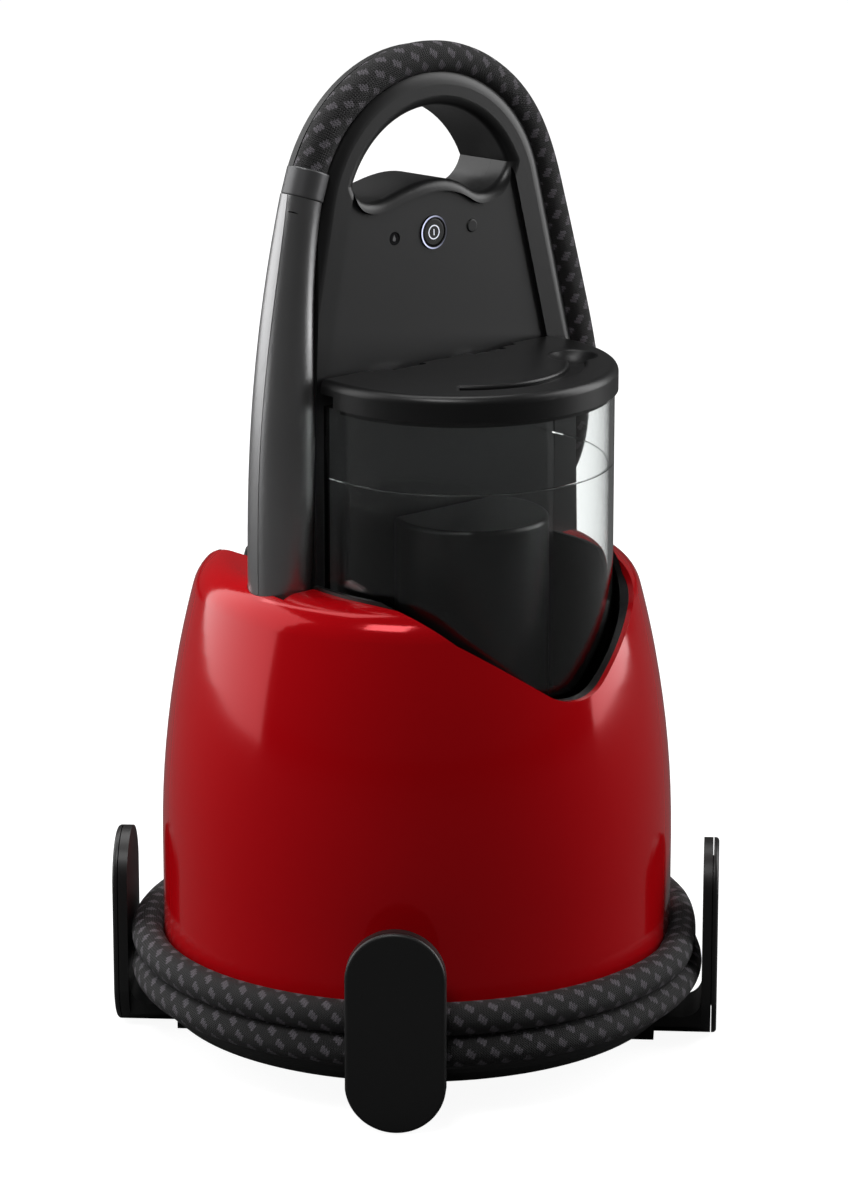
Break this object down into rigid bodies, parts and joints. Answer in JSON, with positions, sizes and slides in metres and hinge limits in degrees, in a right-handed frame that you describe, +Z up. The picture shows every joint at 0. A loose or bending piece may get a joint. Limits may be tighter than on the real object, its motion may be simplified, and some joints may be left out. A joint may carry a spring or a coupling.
{
  "type": "steam generator iron",
  "caption": "Steam generator iron: round base with lift-out water tank, carrying arch with braided steam hose, cord hooks, and iron docked upright behind.",
  "frame": {"origin": "on the floor under the axis of the round shell", "axes": "+Z up, front with the water tank towards -Y, +X to the right seen from the front"},
  "size_m": [0.25, 0.2625, 0.4366],
  "materials": {
    "red_gloss": "deep red, high gloss moulded plastic",
    "black_satin": "satin black moulded plastic",
    "hook_black": "satin black moulded plastic, two layers",
    "panel_black": "smooth black panel",
    "conduit_grey": "dark metallic grey, fine grain",
    "clear_tank": "clear moulded plastic",
    "braid": "braided textile sleeve, black with grey marks",
    "rubber": "soft black rubber",
    "ring_glow": "translucent ring, lit",
    "lamp_clear": "smoked lens",
    "steel": "bright steel",
    "sole_metal": "polished and anodised aluminium",
    "handle_black": "soft touch black",
    "inner_plastic": "grey moulded plastic",
    "board_green": "printed circuit board",
    "tube_clear": "silicone tube"
  },
  "bodies": {
    "root": {"base_tray": "black_satin", "boiler_ends": "steel", "boiler_heater": "steel", "boiler_saddles": "inner_plastic", "boiler_shell": "steel", "button_board": "board_green", "button_light_ring": "ring_glow", "chassis_deck": "black_satin", "conduit_front": "conduit_grey", "conduit_rear": "conduit_grey", "control_board": "board_green", "control_panel": "panel_black", "cord_hook_left_front": "hook_black", "cord_hook_left_rear": "hook_black", "cord_hook_right_front": "hook_black", "cord_hook_right_rear": "hook_black", "deck_posts": "steel", "feed_tube": "tube_clear", "foot_pads": "rubber", "hook_cover_left_front": "hook_black", "hook_cover_left_rear": "hook_black", "hook_cover_right_front": "hook_black", "hook_cover_right_rear": "hook_black", "hook_screws": "steel", "hose_coil": "braid", "hose_collar": "black_satin", "hose_tail": "braid", "iron_dock": "black_satin", "iron_rest_pad": "rubber", "outer_shell": "red_gloss", "port_seal": "rubber", "power_inlet": "black_satin", "safety_valve": "steel", "solenoid_valve": "inner_plastic", "steam_hose": "braid", "steam_riser": "tube_clear", "thermostat": "inner_plastic", "tower_front": "black_satin", "tower_rear": "black_satin", "water_lamp": "lamp_clear", "water_pump": "inner_plastic", "well_liner": "black_satin", "well_port": "inner_plastic"},
    "tank": {"tank_body": "clear_tank", "filter_canister": "black_satin", "plunger_spring": "steel"},
    "lid": {"tank_lid": "black_satin", "lid_pins": "steel", "lid_seal": "rubber"},
    "plunger": {"outlet_plunger": "black_satin"},
    "power_key": {"power_button": "black_satin"},
    "steam_key": {"steam_button": "black_satin"},
    "iron": {"iron_soleplate": "sole_metal", "iron_thermoblock": "sole_metal", "iron_cover": "black_satin", "iron_handle": "handle_black", "trigger_pin": "steel", "hose_strain_relief": "rubber"},
    "trigger": {"steam_trigger": "handle_black"}
  },
  "joints": [
    {"name": "tank_lift", "type": "slide", "parent": "root", "child": "tank", "axis": [0, 0, 1], "range_m": [0, 0.13]},
    {"name": "lid_hinge", "type": "hinge", "parent": "tank", "child": "lid", "pos_m": [0, -0.0187, 0.3008], "axis": [-1, 0, 0], "range_deg": [0, 85]},
    {"name": "outlet_valve", "type": "slide", "parent": "tank", "child": "plunger", "axis": [0, 0, -1], "range_m": [0, 0.0028], "stiffness_N_per_m": 200, "deforming": ["plunger_spring"]},
    {"name": "power_press", "type": "slide", "parent": "root", "child": "power_key", "axis": [0, 0.9994, -0.0349], "range_m": [0, 0.0012], "stiffness_N_per_m": 400},
    {"name": "steam_press", "type": "slide", "parent": "root", "child": "steam_key", "axis": [0, 0.9994, -0.0349], "range_m": [0, 0.0012], "stiffness_N_per_m": 400},
    {"name": "iron_lift_off", "type": "slide", "parent": "root", "child": "iron", "axis": [0, 0.2, 0.9798], "range_m": [0, 0.12]},
    {"name": "trigger_pull", "type": "hinge", "parent": "iron", "child": "trigger", "pos_m": [0, 0.093, 0.184], "axis": [1, 0, 0], "range_deg": [0, 8], "stiffness_Nm_per_rad": 0.5}
  ]
}
